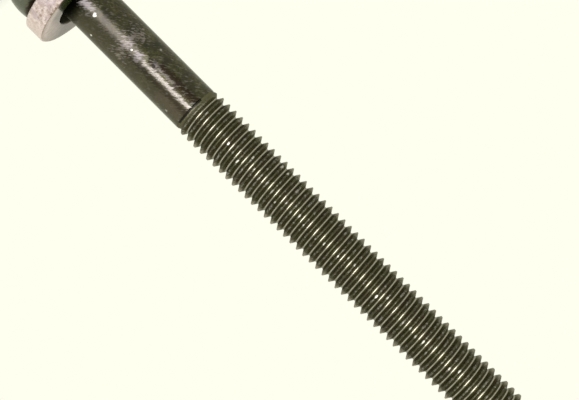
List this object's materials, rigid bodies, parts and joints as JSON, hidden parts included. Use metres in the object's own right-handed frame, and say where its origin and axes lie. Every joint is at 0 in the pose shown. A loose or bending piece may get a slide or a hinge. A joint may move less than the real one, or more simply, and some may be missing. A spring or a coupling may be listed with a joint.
{
  "type": "cylinder head bolt with washer",
  "caption": "Long dark head bolt with a hexagon, a round collar, a plain shank and a long right-hand thread, standing on its head with a loose thick plain washer on the collar.",
  "frame": {"origin": "middle of the hexagon's flat end, on which the bolt stands", "axes": "+Z along the bolt's axis from the head to the thread's tip; two flats of the hexagon face +Y and -Y"},
  "size_m": [0.0244, 0.0244, 0.1406],
  "materials": {
    "black_oxide_steel": "black oxide over rolled steel, oiled, worn bright in the thread roots and along the shank",
    "blasted_steel": "pale grit-blasted steel, matt and pitted, with small dents"
  },
  "bodies": {
    "root": {"head_bolt": "black_oxide_steel", "washer": "blasted_steel"}
  },
  "joints": []
}
